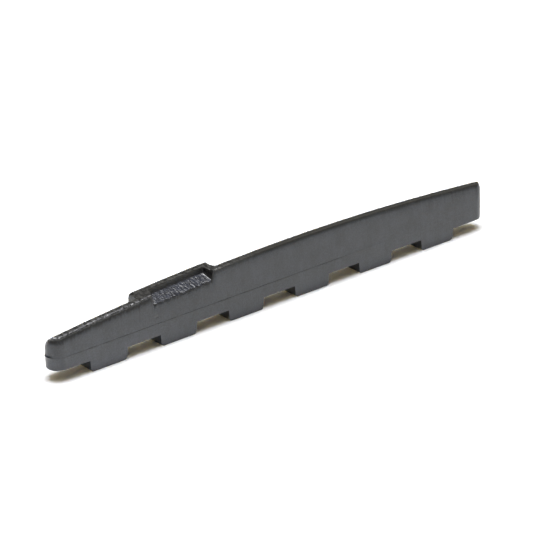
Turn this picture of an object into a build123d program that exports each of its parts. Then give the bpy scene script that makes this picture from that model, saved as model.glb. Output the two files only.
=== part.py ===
"""Compensated bridge saddle for a steel-string acoustic guitar, moulded in one piece.

The strings cross an arched crown. Six short feet, one under each string, press on an
under-saddle pickup. The second string crosses further back, on a raised block with a
sloping pad cut into its front.

Frame: +X runs along the saddle from treble to bass, -Y faces the soundhole, +Z is up.
The origin is midway between the middle feet, at mid-thickness, on the plane of the soles.
Sizes are in millimetres and angles in degrees.
"""

from build123d import *
import os
from math import cos, radians, sin, sqrt, tan

# Blade
LENGTH = 71.0  # over the two rounded ends
THICKNESS = 3.2  # at the parting line, to suit a 1/8 inch slot
PARTING_HEIGHT = 3.3  # where the two halves of the mould met
DRAFT = 1.0  # each half narrows away from the parting line

# Strings, and the feet below them
STRING_PITCH = 10.9
STRINGS = 6
FOOT_SOLE = STRING_PITCH / 2
FOOT_HEIGHT = 1.6
FOOT_FLARE = 6.0  # slope of a foot's two sides
SOLE_EDGE_RADIUS = 0.3

# Crown: a level land between a front bevel and a back slope, all three arched
LAND_HEIGHT = 7.95
LAND_RADIUS = 350.0
LAND_PEAK_X = 3.5  # the arch peaks a little to the bass side
LAND_BACK_Y = -0.4
TREBLE_CORNER_RADIUS = 1.2
BASS_CORNER_RADIUS = 0.4
BEVEL_HEIGHT = 7.72  # where the bevel meets the front face
BEVEL_RADIUS = 295.0  # rounder than the land, so the bevel widens towards both ends
BEVEL_PEAK_X = 2.5
BEVEL_SLOPE = 30.0
BACK_SLOPE = 32.0

# Raised block under the second string, where the crown keeps its full thickness
BLOCK_LEFT = -21.8
BLOCK_RIGHT = -9.7
BLOCK_BACK_BEVEL = 0.2
BLOCK_CORNER_RADIUS = 0.2

# Pad cut into the front of the block
PAD_RIGHT = -11.0
PAD_LEFT_AT_BACK = -19.1
PAD_LEFT_AT_FRONT = -20.3
PAD_BACK_Y = 0.45
PAD_WALL = 0.62  # height of the wall behind the pad
PAD_SLOPE = 15.0  # the pad falls towards the front face

TREBLE_END = -LENGTH / 2
BASS_END = LENGTH / 2
FRONT_Y = -THICKNESS / 2
BACK_Y = THICKNESS / 2
CLEAR = THICKNESS  # how far a cutter runs past the blade
FOOT_XS = [STRING_PITCH * (i - (STRINGS - 1) / 2) for i in range(STRINGS)]


def arch_height(x, peak_x, peak_z, radius):
    """Height at x of an arch whose highest point is (peak_x, peak_z)."""
    return peak_z - radius + sqrt(radius**2 - (x - peak_x) ** 2)


def land_height(x):
    """Height of the string land at x."""
    return arch_height(x, LAND_PEAK_X, LAND_HEIGHT, LAND_RADIUS)


def above_arch(peak_x, peak_z, radius, y, slope, left=-LENGTH, right=LENGTH):
    """A cutter for all above an arch that is drawn at depth y and carried across the blade.

    A positive slope falls towards the back.
    """
    roof = LAND_HEIGHT + 2 * CLEAR
    stations = (left, (left + right) / 2, right)
    points = [(x, arch_height(x, peak_x, peak_z, radius)) for x in stations]
    across = (0, cos(radians(slope)), -sin(radians(slope)))
    with BuildPart() as cutter:
        with BuildSketch(Plane.XZ.offset(-y)):
            with BuildLine():
                arch = ThreePointArc(*points)
                Polyline(arch @ 1, (right, roof), (left, roof), arch @ 0)
            make_face()
        extrude(amount=2 * CLEAR, dir=across, both=True)
    return cutter.part


above_bevel = above_arch(
    BEVEL_PEAK_X, BEVEL_HEIGHT, BEVEL_RADIUS, y=FRONT_Y, slope=-BEVEL_SLOPE
)
above_block_bevel = above_arch(
    LAND_PEAK_X, LAND_HEIGHT, LAND_RADIUS, y=BACK_Y - BLOCK_BACK_BEVEL, slope=45
)
above_back_slopes = [
    above_arch(LAND_PEAK_X, LAND_HEIGHT, LAND_RADIUS, LAND_BACK_Y, BACK_SLOPE, left, right)
    for left, right in ((-LENGTH, BLOCK_LEFT), (BLOCK_RIGHT, LENGTH))
]

# The pad's cutter: its outline seen from above, raised from the sloping floor
pad_middle = (PAD_LEFT_AT_BACK + PAD_RIGHT) / 2
pad_rise = (LAND_PEAK_X - pad_middle) / LAND_RADIUS
pad_floor = Plane(
    origin=(pad_middle, PAD_BACK_Y, land_height(pad_middle) - PAD_WALL),
    x_dir=(1, 0, pad_rise),
    z_dir=(-pad_rise, -tan(radians(PAD_SLOPE)), 1),
)
with BuildPart() as pad_cutter:
    with BuildSketch():
        with BuildLine():
            # the slanted left side runs on, as far again, in front of the blade
            beyond = (2 * PAD_LEFT_AT_FRONT - PAD_LEFT_AT_BACK, 2 * FRONT_Y - PAD_BACK_Y)
            Polyline(
                (PAD_RIGHT, PAD_BACK_Y),
                (PAD_LEFT_AT_BACK, PAD_BACK_Y),
                beyond,
                (PAD_RIGHT, beyond[1]),
                close=True,
            )
        make_face()
    extrude(amount=LAND_HEIGHT + CLEAR)
    split(bisect_by=pad_floor, keep=Keep.TOP)

with BuildPart() as bridge_saddle:
    # The blank: two tapered halves that meet at the parting line
    with BuildSketch(Plane.XY.offset(PARTING_HEIGHT)):
        SlotOverall(LENGTH, THICKNESS)
    extrude(amount=LAND_HEIGHT - PARTING_HEIGHT, taper=DRAFT)
    with BuildSketch(Plane((0, 0, PARTING_HEIGHT), z_dir=(0, 0, -1))):
        SlotOverall(LENGTH, THICKNESS)
    extrude(amount=PARTING_HEIGHT, taper=DRAFT)

    # The side view's outline: the land's arch, rounded into both ends
    with BuildSketch(Plane.XZ):
        with BuildLine():
            land = ThreePointArc(*[(x, land_height(x)) for x in (TREBLE_END, 0, BASS_END)])
            Polyline(land @ 1, (BASS_END, 0), (TREBLE_END, 0), land @ 0)
        make_face()
        treble_corner, bass_corner = vertices().sort_by(Axis.Y)[-2:]
        fillet(treble_corner, TREBLE_CORNER_RADIUS)
        fillet(bass_corner, BASS_CORNER_RADIUS)
    extrude(amount=CLEAR, both=True, mode=Mode.INTERSECT)

    # The front bevel, the back slope on either side of the block, and the pad
    add(above_bevel, mode=Mode.SUBTRACT)
    add(above_block_bevel, mode=Mode.SUBTRACT)
    add(above_back_slopes, mode=Mode.SUBTRACT)
    add(pad_cutter.part, mode=Mode.SUBTRACT)

    # The gaps between the feet, and the undercuts below the two noses
    flare_run = FOOT_HEIGHT * tan(radians(FOOT_FLARE))
    sole_ends_x = [x + side * FOOT_SOLE / 2 for x in FOOT_XS for side in (-1, 1)]
    gap_sides = [-LENGTH, *sole_ends_x, LENGTH]
    with BuildSketch(Plane.XZ):
        for left, right in zip(gap_sides[::2], gap_sides[1::2]):
            with BuildLine():
                Polyline(
                    (left, 0),
                    (right, 0),
                    (right - flare_run, FOOT_HEIGHT),
                    (left + flare_run, FOOT_HEIGHT),
                    close=True,
                )
            make_face()
    extrude(amount=CLEAR, both=True, mode=Mode.SUBTRACT)

    # Eased edges: round the top and back of the block's two ends, and the ends of the soles
    for block_end in (BLOCK_LEFT, BLOCK_RIGHT):
        end_face = bridge_saddle.faces().filter_by(Axis.X).sort_by(
            lambda face: abs(face.center().X - block_end)
        )[0]
        # the longest edge is the inside corner along the back slope
        fillet(end_face.edges().sort_by(SortBy.LENGTH)[:-1], BLOCK_CORNER_RADIUS)
    sole_ends = bridge_saddle.edges().filter_by(Axis.Y).group_by(Axis.Z)[0]
    fillet(sole_ends, SOLE_EDGE_RADIUS)

bridge_saddle.part.label = "bridge_saddle"

os.makedirs("parts", exist_ok=True)
export_step(bridge_saddle.part, "parts/bridge_saddle.step")
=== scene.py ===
"""The looks of a one-piece guitar bridge saddle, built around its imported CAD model.

The moulding is one detailed mesh, lofted from cross-sections taken along the blade: the
crown with its rolled front edge, the raised block and its pad, the flash along the parting
line and the six feet. The grain that the mould leaves on the crown and the pad is in the mesh
too. Its sizes are in millimetres, in the CAD's frame: +X from treble to bass, -Y to the front,
+Z up, with the soles on z = 0. Lengths turn into metres where the mesh and the stage are made.
"""

from math import cos, pi, radians, sin, tan

import bmesh
import bpy
import numpy as np
from mathutils import Matrix, Vector, noise


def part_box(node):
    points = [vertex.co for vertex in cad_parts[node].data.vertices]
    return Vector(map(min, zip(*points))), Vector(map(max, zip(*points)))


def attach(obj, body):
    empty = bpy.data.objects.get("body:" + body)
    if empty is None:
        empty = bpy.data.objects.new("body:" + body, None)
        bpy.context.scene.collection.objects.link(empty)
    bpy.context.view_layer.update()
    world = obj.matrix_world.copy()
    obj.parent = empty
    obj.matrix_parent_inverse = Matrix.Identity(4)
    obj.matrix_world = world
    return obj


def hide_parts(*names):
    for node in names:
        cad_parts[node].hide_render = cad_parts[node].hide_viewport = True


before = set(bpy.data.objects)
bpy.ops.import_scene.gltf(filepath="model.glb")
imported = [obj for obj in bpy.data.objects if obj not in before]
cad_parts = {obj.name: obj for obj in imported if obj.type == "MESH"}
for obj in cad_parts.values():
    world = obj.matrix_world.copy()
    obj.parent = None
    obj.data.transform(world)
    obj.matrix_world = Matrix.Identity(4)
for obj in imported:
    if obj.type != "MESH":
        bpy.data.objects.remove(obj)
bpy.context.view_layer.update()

MM = 0.001

# Blade: the length and thickness come from the CAD
NODE = "bridge_saddle"
LOW, HIGH = (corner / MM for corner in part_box(NODE))
RADIUS = (HIGH.y - LOW.y) / 2  # of the round ends, which is half the thickness
SPINE_END = HIGH.x - RADIUS  # the middle of a round end
PARTING_HEIGHT = 3.3
DRAFT = radians(1.0)

# Crown: an arched land, a slope behind it and a rolled edge in front of it
LAND_HEIGHT = 7.95
LAND_RADIUS = 352.0
LAND_PEAK_X = 3.5
CREST_Y = -0.36
BACK_SLOPE = radians(32.0)

# Feet
STRINGS = 6
STRING_PITCH = 10.9
FOOT_SOLE = STRING_PITCH / 2
FOOT_HEIGHT = 1.6
FOOT_FLARE = radians(6.0)
SOLE_CORNER = 0.38
SOLE_EDGE = 0.06
BASS_REACH = 0.3  # how much further the bass tip reaches than the treble one

# Raised block under the second string, and the pad cut into its front
BLOCK_LEFT = -21.8
BLOCK_RIGHT = -9.6
BLOCK_BACK_Y = 1.56
PAD_LEFT_AT_BACK = -19.35
PAD_LEFT_AT_FRONT = -20.3
PAD_RIGHT = -11.0
PAD_BACK_Y = 0.45
PAD_WALL = 0.68
PAD_SLOPE = radians(17.5)
PAD_MIDDLE = (PAD_LEFT_AT_BACK + PAD_RIGHT) / 2

# Outlines of the standing walls: how far out from the wall's foot, and how much is climbed
# by there. The block's and the pad's side walls are steep with rounded tops, the wall behind
# the pad leans back, and the pad's right wall has a shallow hollow at its foot.
BLOCK_WALL = ([-0.03, 0.0, 0.05, 0.1, 0.2, 0.3, 0.4], [0, 0.67, 0.83, 0.89, 0.955, 0.99, 1])
PAD_LEFT_WALL = ([-0.05, 0.05, 0.1, 0.2], [0, 0.9, 0.97, 1])
PAD_BACK_WALL = ([-0.1, 0.12], [0, 1])
PAD_RIGHT_WALL = ([-0.22, -0.03, 0.0, 0.1, 0.14, 0.2], [0, 0.03, 0.06, 0.95, 0.985, 1])
# How the block's and pad's sides slant, in x per y, in front of PAD_BACK_Y and behind it
PAD_LEFT_SLANT = (PAD_LEFT_AT_BACK - PAD_LEFT_AT_FRONT) / (PAD_BACK_Y + RADIUS)
FRONT_SLANTS = {
    BLOCK_LEFT: 0,
    PAD_LEFT_AT_BACK - 0.2: PAD_LEFT_SLANT,
    PAD_LEFT_AT_BACK + 0.1: PAD_LEFT_SLANT,
    PAD_RIGHT - 0.3: -0.08,
    PAD_RIGHT: -0.08,
    PAD_RIGHT + 0.1: -0.3,
    BLOCK_RIGHT + 0.1: -0.245,
    BLOCK_RIGHT + 1.5: 0,
}
BACK_SLANTS = {
    PAD_RIGHT: 0,
    BLOCK_RIGHT - 0.1: 0.2,
    BLOCK_RIGHT + 0.1: 0.2,
    BLOCK_RIGHT + 1.5: 0,
}

# Relief of the surface: how far each kind of grain stands out
WAVINESS = 0.0025
CROWN_GRAIN = 0.044
PAD_GRAIN = 0.016
RIM_HEIGHT = 0.02
RIM_GRAIN = 0.08

# Flash along the parting line, and the nick of it at the treble tip
FLASH_WIDTH = 0.022  # how far the flash lies to either side of the parting line
FLASH_HEIGHT = 0.03
NICK_HEIGHT = 0.16
NICK_LENGTH = 0.14
NICK_WIDTH = 0.12

SEED = Vector((11.3, 4.7, 23.1))  # where the grain is taken from the noise field


def land_height(x):
    """Height of the string land at x."""
    return LAND_HEIGHT - LAND_RADIUS + np.sqrt(LAND_RADIUS**2 - (x - LAND_PEAK_X) ** 2)


def ramp(value, start, end):
    """0 before start, 1 past end, and smooth between them."""
    t = np.clip((value - start) / (end - start), 0, 1)
    return t * t * (3 - 2 * t)


def mix(a, b, share):
    """a where share is 0, b where it is 1."""
    return a + (b - a) * share


def past_end_share(s):
    """0 along the straight sides, and up to 1 at the very tip of a round end."""
    return np.clip((np.abs(s) - SPINE_END) / RADIUS, 0, 1)


# ---------------------------------------------------------------- the loft's stations


def evenly(start, end, step):
    """Values from start to end, no further apart than step, without the last one."""
    count = max(1, int(np.ceil(abs(end - start) / step)))
    return np.linspace(start, end, count, endpoint=False)


def foot_flank(edge, side):
    """Stations across one flank of a foot: side is -1 for its left flank and 1 for its right."""
    run = FOOT_HEIGHT * tan(FOOT_FLARE)
    corner_run = SOLE_CORNER * tan(FOOT_FLARE)
    wall = np.linspace(run, corner_run, 7)
    corner = -SOLE_CORNER * (1 - np.cos(np.linspace(0, pi / 2, 5)[1:]))
    return edge + side * np.concatenate([wall, corner])


def across_wall(place, wall, side=1):
    """Places across a standing wall that rises towards side, with one more between each pair."""
    knots = np.array(wall[0])
    between = (knots[1:] + knots[:-1]) / 2
    return place + side * np.concatenate([knots, between])


FOOT_XS = [STRING_PITCH * (i - (STRINGS - 1) / 2) - 0.1 for i in range(STRINGS)]


def stations():
    """The loft's stations along the blade, closer together wherever the shape turns."""
    coarse = 0.16
    fine = 0.11  # from the treble end to the block, where the grain is strong
    fixed = [
        across_wall(BLOCK_LEFT, BLOCK_WALL),
        across_wall(PAD_LEFT_AT_BACK, PAD_LEFT_WALL, -1),
        across_wall(PAD_RIGHT, PAD_RIGHT_WALL),
        across_wall(BLOCK_RIGHT, BLOCK_WALL, -1),
    ]
    for x in FOOT_XS:
        fixed.append(foot_flank(x - FOOT_SOLE / 2, -1))
        fixed.append(foot_flank(x + FOOT_SOLE / 2, 1))
    angles = np.radians(np.arange(0, 91, 4.5))
    for side in (-1, 1):
        fixed.append(side * (SPINE_END + RADIUS * np.sin(angles)))
    knots = np.unique(np.concatenate(fixed).round(5))
    runs = [evenly(a, b, fine if a < BLOCK_RIGHT else coarse) for a, b in zip(knots, knots[1:])]
    return np.concatenate([*runs, knots[-1:]])


# ---------------------------------------------------------------- the loft's heights


def under_height(s):
    """Height of the underside: 0 on a sole, FOOT_HEIGHT between the feet."""
    height = np.full_like(s, FOOT_HEIGHT)
    for x in FOOT_XS:
        beyond = np.abs(s - x) - FOOT_SOLE / 2  # past the sole's sharp edge
        flank = beyond / tan(FOOT_FLARE)
        inset = np.clip(beyond + SOLE_CORNER, 0, SOLE_CORNER) / SOLE_CORNER
        corner = SOLE_CORNER * (1 - np.sqrt(1 - inset**2))
        height = np.where(beyond < FOOT_HEIGHT * tan(FOOT_FLARE), np.maximum(flank, corner), height)
    return np.minimum(height, FOOT_HEIGHT)


def climbed(value, place, wall, side=1):
    """How much of a standing wall has been climbed at value, going towards side."""
    return np.interp(side * (value - place), *wall)


def block_share(s):
    """1 on the raised block, 0 off it."""
    return climbed(s, BLOCK_LEFT, BLOCK_WALL) * climbed(s, BLOCK_RIGHT, BLOCK_WALL, -1)


def pad_share(s, y):
    """1 on the pad, 0 beside and behind it."""
    left = climbed(s, PAD_LEFT_AT_BACK, PAD_LEFT_WALL, -1)
    right = climbed(s, PAD_RIGHT, PAD_RIGHT_WALL)
    back = climbed(y, PAD_BACK_Y, PAD_BACK_WALL)
    return (1 - left) * (1 - right) * (1 - back)


def along_edge(s, size, offset):
    """Unevenness along the blade, from -1 to 1, with features of that size."""
    return np.array([noise.noise(Vector((v / size, offset, 0.5)) + SEED) for v in np.atleast_1d(s)])


def pad_floor(x, y):
    """Height of the pad, which follows the arch along x and falls towards the front."""
    rise = (LAND_PEAK_X - PAD_MIDDLE) / LAND_RADIUS
    fall = (y - PAD_BACK_Y) * tan(PAD_SLOPE)
    return land_height(PAD_MIDDLE) - PAD_WALL + (x - PAD_MIDDLE) * rise + fall


def front_roll(s):
    """Width and height of the rolled edge between the land and the front face."""
    bass = ramp(s, 8, 30)
    treble = ramp(-s, 5, 30)
    width = 0.32 + 0.16 * bass + 0.2 * treble
    height = 1.8 + 1.2 * bass - 0.5 * treble
    width = width * (1 + (0.12 + 0.2 * treble) * along_edge(s, 0.3, 3.0))
    return width, height


def roll_drop(inset, width, height):
    """How far a rolled edge has fallen at a distance in from the face."""
    share = np.clip(1 - inset / width, 0, 1)
    return height * (1 - np.sqrt(1 - share**2))


def inset_from_edge(s, y):
    """Distance in from the blade's outline."""
    past_end = np.maximum(np.abs(s) - SPINE_END, 0)
    return np.maximum(RADIUS - np.hypot(past_end, y), 0)


def edge_roll(s, side):
    """Width and height of the edge's roll, turning from the blade's side to its tip."""
    along = past_end_share(s) ** 0.7
    width, height = front_roll(s)
    if side > 0:
        width, height = 0.14, 0.12
    tip_width = np.where(s < 0, 0.75, 0.35)
    tip_height = np.where(s < 0, 1.0, 0.4)
    return mix(width, tip_width, along), mix(height, tip_height, along)


def crown_height(s, y, side):
    """Height of the crown at a station and depth, before the pad is cut."""
    roll = roll_drop(inset_from_edge(s, y), *edge_roll(s, side))
    slope = np.maximum(y - CREST_Y, 0) * tan(BACK_SLOPE)
    ridge_back = np.maximum(y - BLOCK_BACK_Y, 0)
    return land_height(s) - roll - mix(slope, ridge_back, block_share(s))


def top_height(s, x, y, side):
    """Height of the finished top."""
    crown = crown_height(s, y, side)
    lip = 0.27 * (1 + 0.45 * along_edge(s, 0.28, 7.0))
    floor = pad_floor(x, y) - roll_drop(inset_from_edge(s, y), lip, 1.7)
    return mix(crown, np.minimum(crown, floor), pad_share(s, y))


# ---------------------------------------------------------------- the loft's rings

# Depths of the top's lines of points, from the front face to the back face
EDGE_INSETS = np.array([0, 0.003, 0.01, 0.02, 0.035, 0.06, 0.1, 0.15, 0.22, 0.3])
TOP_YS = np.concatenate(
    [
        -RADIUS + EDGE_INSETS,
        evenly(-RADIUS + 0.4, CREST_Y, 0.12),
        evenly(CREST_Y, PAD_BACK_Y - 0.12, 0.14),
        np.sort(across_wall(PAD_BACK_Y, PAD_BACK_WALL)),
        evenly(PAD_BACK_Y + 0.22, RADIUS - 0.32, 0.14),
        RADIUS - EDGE_INSETS[::-1],
    ]
)
# Where a side wall's rows lie: shares of the way down to the flash, heights at it, and below it
UPPER_ROWS = np.linspace(0, 1, 9)[1:]
FLASH_ROWS = np.array([0.2, 0.1, 0.05, 0.025, 0.01, 0, -0.01, -0.025, -0.05, -0.1, -0.2])
LOWER_ROWS = np.linspace(0, 1, 6)[1:]


def seam_strength(x):
    """The parting line is plain from the treble end to the middle and fades towards the bass."""
    return 1 - 0.85 * ramp(x, 4, 24)


def bead_unevenness(s, offset):
    """How the flash swells and thins along the blade, from -1 to 1."""
    return np.array([noise.noise(Vector((v * 0.9, offset, 2.0)) + SEED) for v in s])


def flash(s, side, z):
    """How far the flash stands out at a height: a thin uneven bead, heaviest at the treble tip."""
    # the two sides' beads meet at the tips, where they have to be equal
    uneven = mix(bead_unevenness(s, side * 9.0), bead_unevenness(s, 0.0), past_end_share(s))
    size = FLASH_HEIGHT * np.clip(0.75 + 1.1 * uneven, 0.15, 1.6) * seam_strength(s)
    nick = NICK_HEIGHT * np.exp(-(((s + SPINE_END + RADIUS) / NICK_LENGTH) ** 2))
    bead = size * np.exp(-(((z - PARTING_HEIGHT) / FLASH_WIDTH) ** 2))
    return bead + nick * np.exp(-(((z - PARTING_HEIGHT) / NICK_WIDTH) ** 2))


def outline(s, side, z):
    """x and y of the side wall at a station and height, and so of a ring's two sides."""
    reach = RADIUS - np.abs(z - PARTING_HEIGHT) * tan(DRAFT) + flash(s, side, z)
    past_end = past_end_share(s)
    x = np.where(past_end > 0, np.sign(s) * (SPINE_END + reach * past_end), s)
    return x, side * reach * np.sqrt(1 - past_end**2)


def sheared(s, x, y, z):
    """x moved to follow the slanted sides of the block and the pad, less and less below them."""
    front = np.interp(s, list(FRONT_SLANTS), list(FRONT_SLANTS.values()))
    back = np.interp(s, list(BACK_SLANTS), list(BACK_SLANTS.values()))
    past = y - PAD_BACK_Y
    return x + np.where(past < 0, front, back) * past * ramp(z, PARTING_HEIGHT + 0.3, 6.0)


def side_wall(s, side):
    """Points of one side wall, from its top row to the edge of the soles."""
    shoulder = past_end_share(s)
    edge_y = side * RADIUS * np.sqrt(1 - shoulder**2)
    x_top = sheared(s, s, edge_y, np.full_like(s, LAND_HEIGHT))
    top = top_height(s, x_top, edge_y, side)
    under = under_height(s) + SOLE_EDGE
    above = PARTING_HEIGHT + FLASH_ROWS[0]
    below = PARTING_HEIGHT + FLASH_ROWS[-1]
    ceiling = FOOT_HEIGHT + SOLE_EDGE
    heights = [mix(top, above, share) for share in UPPER_ROWS]
    heights += [np.full_like(s, PARTING_HEIGHT + dz) for dz in FLASH_ROWS[1:]]
    heights += [np.full_like(s, mix(below, ceiling, share)) for share in LOWER_ROWS]
    heights += [mix(ceiling, under, share) for share in np.linspace(0, 1, 7)[1:]]
    rows = []
    for z in heights:
        x, y = outline(s, side, z)
        rows.append((sheared(s, x, y, z), y, z))
    return rows


def top_rows(s):
    """Points of the top, from the front edge to the back edge."""
    rows = []
    for y_mid in TOP_YS:
        side = np.sign(y_mid) or 1
        shoulder = past_end_share(s)
        y = y_mid * np.sqrt(1 - shoulder**2)
        x = sheared(s, s, y, np.full_like(s, LAND_HEIGHT))
        z = top_height(s, x, y, side)
        # draw the top in by the draft, as far as the walls that it sits on
        drawn = 1 - (z - PARTING_HEIGHT) * tan(DRAFT) / RADIUS
        spine_x = np.clip(s, -SPINE_END, SPINE_END)
        rows.append((spine_x + (x - spine_x) * drawn, y * drawn, z))
    return rows


def under_rows(s):
    """Points of the underside, from the back edge to the front edge."""
    z = under_height(s)
    spine_x = np.clip(s, -SPINE_END, SPINE_END)
    x, half = outline(s, 1, z)
    rows = []
    for turn in np.linspace(0, pi / 2, 4)[1:]:
        shrunk = 1 - SOLE_EDGE * (1 - cos(turn)) / RADIUS
        edge_x = spine_x + (x - spine_x) * shrunk
        rows.append((edge_x, half * shrunk, z + SOLE_EDGE * (1 - sin(turn))))
    flat_x, flat_half, _ = rows[-1]
    middle = [(flat_x, flat_half * share, z) for share in np.linspace(1, -1, 9)[1:-1]]
    front = [(x, -y, z) for x, y, z in rows[::-1]]
    return rows + middle + front


def moulding_mesh():
    """The closed mesh of the moulding, in millimetres, before its grain."""
    s = stations()
    front = side_wall(s, -1)
    back = side_wall(s, 1)
    ring = top_rows(s) + back + under_rows(s) + front[::-1]
    points = np.stack([np.stack(np.broadcast_arrays(*row), axis=1) for row in ring], axis=1)
    rings, around = points.shape[:2]
    index = np.arange(rings * around).reshape(rings, around)
    here, ahead = index[:-1], index[1:]
    quads = np.stack([here, np.roll(here, -1, 1), np.roll(ahead, -1, 1), ahead], axis=-1)
    points[..., 0] += BASS_REACH * ramp(points[..., 0], 31, 34)
    made = bmesh.new()
    verts = [made.verts.new(p) for p in points.reshape(-1, 3)]
    for quad in quads.reshape(-1, 4):
        made.faces.new([verts[i] for i in quad])
    bmesh.ops.remove_doubles(made, verts=made.verts, dist=0.0005)
    bmesh.ops.dissolve_degenerate(made, edges=made.edges, dist=0.0005)
    bmesh.ops.recalc_face_normals(made, faces=made.faces)
    return made


# ---------------------------------------------------------------- the grain


def roughness_along(x):
    """The crown is rough from the treble end to the block, and polished towards the bass."""
    return 0.12 + 0.88 * ramp(-x, 0, 12)


def crown_mask(p, normal):
    """Up to 1 on the eroded crown, 0 on the side faces, the pad, the feet and the underside."""
    if p.z < PARTING_HEIGHT + 0.5 or in_pad(p):
        return 0.0
    inset = inset_from_edge(p.x, p.y)
    start = 0.24 if p.y < 0 else 0.06
    by_the_walls = PAD_LEFT_AT_BACK - 0.1 < p.x < PAD_RIGHT + 0.15 and p.y < PAD_BACK_Y + 0.11
    if by_the_walls:
        return 0.0
    # the grain dies out towards the back, on the slope and on the block alike
    fade_from = 0.9 if BLOCK_LEFT < p.x < BLOCK_RIGHT else -0.1
    kept = 1 - 0.75 * ramp(p.y, fade_from, fade_from + 0.6)
    shown = ramp(inset, start, start + 0.16) * ramp(normal.z, 0.25, 0.6)
    return float(shown * kept * roughness_along(p.x))


def wall_mask(p):
    """1 on the three walls that stand around the pad, where shade is painted dark, and on patches of
    the block's left end, which are made dark too.
    """
    inset = inset_from_edge(p.x, p.y) if p.y < 0 else 9
    if BLOCK_LEFT + 0.1 < p.x < PAD_LEFT_AT_BACK - 0.2 and p.z > 6 and inset > 0.7:
        return float(np.clip(0.4 + 1.3 * noise.noise(p / 0.6 + SEED), 0, 1))
    beside = PAD_LEFT_AT_FRONT - 0.1 < p.x < PAD_RIGHT + 0.8 and p.y < PAD_BACK_Y + 0.12
    standing = pad_floor(p.x, p.y) + 0.05 < p.z < land_height(p.x) - 0.02
    return float(beside and standing and inset > 0.25)


def painted_edge_shade_mask(p):
    """1 along the jagged line where the eroded crown breaks off at the front face: painted shade, for
    the rolled edge there faces away from the light.
    """
    if p.y > 0 or p.z < 4.5 or p.x > BLOCK_LEFT + 1.5:
        return 0.0
    jagged = 0.21 + 0.14 * noise.noise(Vector((p.x / 0.3, 5.0, 1.0)) + SEED)
    return float(np.exp(-(((inset_from_edge(p.x, p.y) - jagged) / 0.09) ** 2)))


def in_pad(p):
    """Whether a point of the top lies within the pad's walls."""
    left = PAD_LEFT_AT_BACK + (p.y - PAD_BACK_Y) * PAD_LEFT_SLANT
    low = p.z < float(pad_floor(p.x, p.y)) + 0.2
    return left < p.x < PAD_RIGHT + 0.2 and p.y < PAD_BACK_Y and low


def top_mask(p, normal):
    """1 on all that faces up above the parting line."""
    return float(ramp(normal.z, 0.15, 0.6)) if p.z > PARTING_HEIGHT + 0.5 else 0.0


def pad_mask(p, normal):
    """1 on the pad's floor."""
    return float(ramp(normal.z, 0.5, 0.8)) if in_pad(p) else 0.0


def rim_mask(p):
    """1 along the raised rim at the front of the rough land, where glints of the light are also
    painted bright in specks.
    """
    if p.y > 0 or p.z < 4.5 or in_pad(p):
        return 0.0
    inset = inset_from_edge(p.x, p.y)
    return float(np.exp(-(((inset - 0.53) / 0.16) ** 2)) * ramp(-p.x, 8, 18))


def grain(p, size, stretch=1.0):
    """Noise of two octaves at a place in millimetres; stretch makes its features longer in y."""
    at = Vector((p.x, p.y / stretch, p.z)) / size + SEED
    return noise.noise(at) + 0.5 * noise.noise(at * 2.1)


def seam_mask(p):
    """1 along the dark parting line, which wavers a little and comes and goes."""
    waver = 0.05 * noise.noise(Vector((p.x / 1.3, 4.0, 3.0)) + SEED)
    broken = 0.75 + 1.1 * noise.noise(Vector((p.x / 2.1, 6.0, 8.0)) + SEED)
    line = np.exp(-(((p.z - PARTING_HEIGHT - waver) / 0.06) ** 2))
    return float(line * np.clip(broken, 0.1, 1) * seam_strength(p.x))


def pale_mask(p):
    """1 where the faces are made palest: near the treble end's soles, less higher up, and not below
    the block.
    """
    below_block = np.exp(-(((p.x + 23) / 3.5) ** 2)) * ramp(p.z, 3.2, 5)
    return float(ramp(-p.x, 12, 26) * (0.5 + 0.5 * ramp(-p.z, -4.5, -2)) * (1 - 0.9 * below_block))


MASKS = ("crown", "top", "pad", "rim", "cut", "wall", "pale", "seam")


def add_grain(made):
    """Moves the points along their normals by the grain, and stores every mask for the material."""
    layers = {name: made.verts.layers.float.new(name) for name in MASKS}
    made.normal_update()
    moves = []
    for vert in made.verts:
        p = vert.co
        pad = pad_mask(p, vert.normal)
        crown = crown_mask(p, vert.normal)
        # rim raises the rim and also marks where glints are painted bright
        rim = rim_mask(p)
        vert[layers["crown"]] = crown
        vert[layers["pad"]] = pad
        vert[layers["rim"]] = rim
        vert[layers["top"]] = top_mask(p, vert.normal)
        # cut marks the rolled front edge at the treble end, where shade is painted dark
        vert[layers["cut"]] = painted_edge_shade_mask(p)
        # wall marks the walls around the pad, where shade is painted dark, and dark patches on the
        # block's left end
        vert[layers["wall"]] = wall_mask(p)
        vert[layers["pale"]] = pale_mask(p)
        vert[layers["seam"]] = seam_mask(p)
        move = WAVINESS * noise.noise(p / 2.5 + SEED)
        move += crown * CROWN_GRAIN * grain(p, 0.42, 1.8)
        # the pad is smoothest at the foot of its right wall
        move += pad * float(ramp(PAD_RIGHT - p.x, 0.2, 3.5)) * PAD_GRAIN * grain(p, 0.28, 1.4)
        move += rim * (RIM_HEIGHT + RIM_GRAIN * grain(p, 0.32))
        moves.append(vert.normal * move)
    for vert, move in zip(made.verts, moves):
        vert.co += move


def make_moulding():
    """The finished saddle as one Blender object."""
    made = moulding_mesh()
    add_grain(made)
    bmesh.ops.scale(made, vec=(MM, MM, MM), verts=made.verts)
    mesh = bpy.data.meshes.new("saddle_moulding")
    made.to_mesh(mesh)
    made.free()
    mesh.shade_smooth()
    mesh.set_sharp_from_angle(angle=radians(42))
    moulding = bpy.data.objects.new("saddle_moulding", mesh)
    bpy.context.scene.collection.objects.link(moulding)
    return moulding


# ---------------------------------------------------------------- materials


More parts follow.
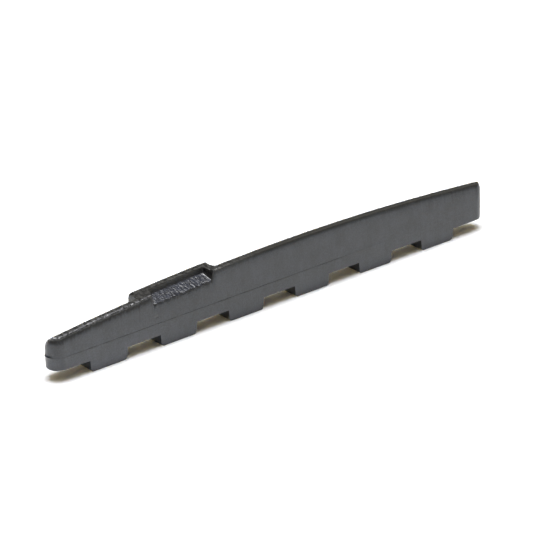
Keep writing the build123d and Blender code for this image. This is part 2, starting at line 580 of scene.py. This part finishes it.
class Nodes:
    """A short way to write a material's node tree."""

    def __init__(self, name):
        self.material = bpy.data.materials.new(name)
        self.material.use_nodes = True
        self.tree = self.material.node_tree
        self.shader = self.tree.nodes["Principled BSDF"]

    def add(self, kind, **settings):
        node = self.tree.nodes.new(kind)
        for key, value in settings.items():
            setattr(node, key, value)
        return node

    def feed(self, socket, value):
        """Links an output to a socket, or sets the socket's own value."""
        if isinstance(value, bpy.types.NodeSocket):
            self.tree.links.new(value, socket)
        else:
            socket.default_value = value

    def noise(self, where, scale, detail=2.0, roughness=0.5):
        node = self.add("ShaderNodeTexNoise")
        self.feed(node.inputs["Vector"], where)
        self.feed(node.inputs["Scale"], scale)
        self.feed(node.inputs["Detail"], detail)
        self.feed(node.inputs["Roughness"], roughness)
        return node.outputs["Fac"]

    def stretched(self, where, scale):
        node = self.add("ShaderNodeMapping")
        self.feed(node.inputs["Vector"], where)
        self.feed(node.inputs["Scale"], scale)
        return node.outputs["Vector"]

    def span(self, value, low, high, to_low=0.0, to_high=1.0):
        node = self.add("ShaderNodeMapRange")
        self.feed(node.inputs["Value"], value)
        self.feed(node.inputs["From Min"], low)
        self.feed(node.inputs["From Max"], high)
        self.feed(node.inputs["To Min"], to_low)
        self.feed(node.inputs["To Max"], to_high)
        return node.outputs["Result"]

    def math(self, operation, a, b):
        node = self.add("ShaderNodeMath", operation=operation)
        self.feed(node.inputs[0], a)
        self.feed(node.inputs[1], b)
        return node.outputs["Value"]

    def blend(self, share, a, b):
        """A colour between a and b."""
        node = self.add("ShaderNodeMix", data_type="RGBA")
        self.feed(node.inputs["Factor"], share)
        self.feed(node.inputs[6], a)
        self.feed(node.inputs[7], b)
        return node.outputs[2]

    def blend_value(self, share, a, b):
        node = self.add("ShaderNodeMix", data_type="FLOAT")
        self.feed(node.inputs["Factor"], share)
        self.feed(node.inputs[2], a)
        self.feed(node.inputs[3], b)
        return node.outputs[0]

    def attribute(self, name):
        return self.add("ShaderNodeAttribute", attribute_name=name).outputs["Fac"]


def moulded_polymer():
    """Dark graphite-filled polymer: satin where the mould was polished, grainy where eroded."""
    n = Nodes("graphite_polymer")
    place = n.add("ShaderNodeTexCoord").outputs["Object"]
    # cut and wall mark where shade is painted dark; rim marks the raised rim and its painted glints
    crown = n.attribute("crown")
    pad = n.attribute("pad")
    rim = n.attribute("rim")
    top = n.attribute("top")
    cut = n.attribute("cut")
    wall = n.attribute("wall")
    pale = n.attribute("pale")
    seam = n.attribute("seam")

    # The faces carry faint flow streaks from the soles to the crown, and cloudy patches
    streaks = n.noise(n.stretched(place, (1.0, 1.0, 0.15)), 2200, 3.0)
    clouds = n.noise(place, 480, 3.0)
    speckle = n.noise(place, 5200, 2.0, 0.6)
    face_tone = n.math("ADD", n.math("MULTIPLY", streaks, 0.15), n.math("MULTIPLY", clouds, 0.35))
    face_tone = n.math("ADD", face_tone, n.math("MULTIPLY", speckle, 0.5))
    mottle = n.span(face_tone, 0.4, 0.6)
    dark_face = n.blend(mottle, (0.005, 0.007, 0.010, 1), (0.019, 0.023, 0.030, 1))
    pale_face = n.blend(mottle, (0.020, 0.023, 0.029, 1), (0.040, 0.045, 0.056, 1))
    face = n.blend(pale, dark_face, pale_face)
    pits = n.noise(n.stretched(place, (1.0, 0.5, 1.0)), 2500, 2.0, 0.6)
    worn = n.blend(n.span(speckle, 0.35, 0.65), (0.014, 0.0136, 0.0118, 1), (0.030, 0.029, 0.025, 1))
    eroded = n.blend(n.span(pits, 0.42, 0.57), (0.004, 0.004, 0.004, 1), (0.052, 0.051, 0.048, 1))
    # The raised rim's burrs, with painted highlights: its pits are painted up to a bright bluish
    # white as glints of the light
    burr_and_painted_glints = n.blend(n.span(pits, 0.4, 0.58), (0.012, 0.012, 0.013, 1), (0.135, 0.135, 0.15, 1))
    sparkling = n.blend(n.span(pits, 0.36, 0.62), (0.003, 0.004, 0.008, 1), (0.018, 0.021, 0.033, 1))
    colour = n.blend(crown, n.blend(top, face, worn), eroded)
    colour = n.blend(pad, n.blend(rim, colour, burr_and_painted_glints), sparkling)
    # Painted shade: near black on the walls around the pad and on the rolled front edge at the treble
    # end, and dark patches on the block's left end
    colour = n.blend(n.math("MAXIMUM", cut, wall), colour, (0.003, 0.003, 0.003, 1))
    colour = n.blend(seam, colour, (0.005, 0.005, 0.005, 1))
    n.feed(n.shader.inputs["Base Color"], colour)

    face_rough = n.span(face_tone, 0.38, 0.62, 0.36, 0.29)
    crown_rough = n.span(speckle, 0.3, 0.7, 0.44, 0.32)
    pad_rough = n.span(speckle, 0.3, 0.7, 0.35, 0.26)
    roughness = n.blend_value(pad, n.blend_value(crown, face_rough, crown_rough), pad_rough)
    roughness = n.blend_value(rim, roughness, 0.3)
    roughness = n.blend_value(wall, n.blend_value(cut, roughness, 0.5), 0.42)
    n.feed(n.shader.inputs["Roughness"], roughness)
    n.feed(n.shader.inputs["IOR"], 1.62)

    fine = n.noise(n.stretched(place, (1.0, 0.45, 1.0)), 3000, 2.0, 0.6)
    height = n.math("ADD", n.math("MULTIPLY", fine, 0.85), n.math("MULTIPLY", streaks, 0.15))
    amount = n.blend_value(pad, n.blend_value(crown, 0.005, 0.26), 0.10)
    bump = n.add("ShaderNodeBump")
    n.feed(bump.inputs["Height"], n.math("MULTIPLY", height, amount))
    n.feed(bump.inputs["Distance"], MM)
    n.feed(bump.inputs["Strength"], 1.0)
    n.feed(n.shader.inputs["Normal"], bump.outputs["Normal"])
    return n.material


def studio_white():
    """Matt white board: light spreads a little way inside it, so narrow shadows turn warm."""
    n = Nodes("studio_white")
    place = n.add("ShaderNodeTexCoord").outputs["Object"]
    tone = n.noise(place, 60, 2.0)
    n.feed(n.shader.inputs["Base Color"], n.blend(tone, (0.80, 0.80, 0.80, 1), (0.82, 0.82, 0.82, 1)))
    n.feed(n.shader.inputs["Roughness"], 1.0)
    n.feed(n.shader.inputs["Specular IOR Level"], 0.0)
    n.shader.subsurface_method = "BURLEY"
    n.feed(n.shader.inputs["Subsurface Weight"], 1.0)
    n.feed(n.shader.inputs["Subsurface Scale"], MM)
    n.feed(n.shader.inputs["Subsurface Radius"], (2.7, 2.4, 1.75))
    return n.material


# ---------------------------------------------------------------- the stage

FLOOR_SIZE = 6.0
KEY_STRENGTH = 5.2
KEY_SPREAD = radians(33)
AMBIENT = (1.0, 0.95, 0.88)
AMBIENT_STRENGTH = 0.16
BACKDROP = (1.0, 1.0, 1.0)

# The camera's direction from the object, and how it is framed
CAMERA_AZIMUTH = radians(-38.97)
CAMERA_ELEVATION = radians(24.16)
CAMERA_ROLL = radians(-1.373)
CAMERA_DISTANCE = 406.5
CAMERA_ASIDE = 0.791
CAMERA_ABOVE = -4.216
SENSOR = 36.0
LENS = 213.75


def make_floor():
    """A wide pale floor, level with the soles."""
    made = bmesh.new()
    bmesh.ops.create_grid(made, x_segments=8, y_segments=8, size=FLOOR_SIZE / 2)
    mesh = bpy.data.meshes.new("floor")
    made.to_mesh(mesh)
    made.free()
    mesh.materials.append(studio_white())
    floor = bpy.data.objects.new("floor", mesh)
    bpy.context.scene.collection.objects.link(floor)
    return floor


def make_lights():
    """One broad soft light straight above, and a dim warm room with a white backdrop."""
    key = bpy.data.lights.new("overhead_softbox", "SUN")
    key.energy = KEY_STRENGTH
    key.angle = KEY_SPREAD
    lamp = bpy.data.objects.new("overhead_softbox", key)
    bpy.context.scene.collection.objects.link(lamp)

    world = bpy.data.worlds.new("studio")
    world.use_nodes = True
    tree = world.node_tree
    room = tree.nodes["Background"]
    room.inputs["Color"].default_value = (*AMBIENT, 1)
    room.inputs["Strength"].default_value = AMBIENT_STRENGTH
    backdrop = tree.nodes.new("ShaderNodeBackground")
    backdrop.inputs["Color"].default_value = (*BACKDROP, 1)
    seen = tree.nodes.new("ShaderNodeLightPath")
    either = tree.nodes.new("ShaderNodeMixShader")
    tree.links.new(seen.outputs["Is Camera Ray"], either.inputs["Fac"])
    tree.links.new(room.outputs[0], either.inputs[1])
    tree.links.new(backdrop.outputs[0], either.inputs[2])
    tree.links.new(either.outputs[0], tree.nodes["World Output"].inputs["Surface"])
    bpy.context.scene.world = world


def make_camera():
    """A long lens, seen from the front left and a little above."""
    a, e = CAMERA_AZIMUTH, CAMERA_ELEVATION
    back = Vector((sin(a) * cos(e), -cos(a) * cos(e), sin(e)))
    level = Vector((cos(a), sin(a), 0))
    upright = back.cross(level)
    right = cos(CAMERA_ROLL) * level + sin(CAMERA_ROLL) * upright
    up = -sin(CAMERA_ROLL) * level + cos(CAMERA_ROLL) * upright
    place = back * CAMERA_DISTANCE - right * CAMERA_ASIDE - up * CAMERA_ABOVE
    data = bpy.data.cameras.new("camera")
    data.sensor_width = SENSOR
    data.lens = LENS
    data.clip_start = 0.01
    camera = bpy.data.objects.new("camera", data)
    turn = Matrix((right, up, back)).transposed()
    camera.matrix_world = Matrix.Translation(place * MM) @ turn.to_4x4()
    bpy.context.scene.collection.objects.link(camera)
    bpy.context.scene.camera = camera


make_camera()
make_lights()
make_floor()
bpy.context.scene.view_settings.view_transform = "Standard"

moulding = make_moulding()
moulding.data.materials.append(moulded_polymer())
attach(moulding, "root")
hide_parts(NODE)
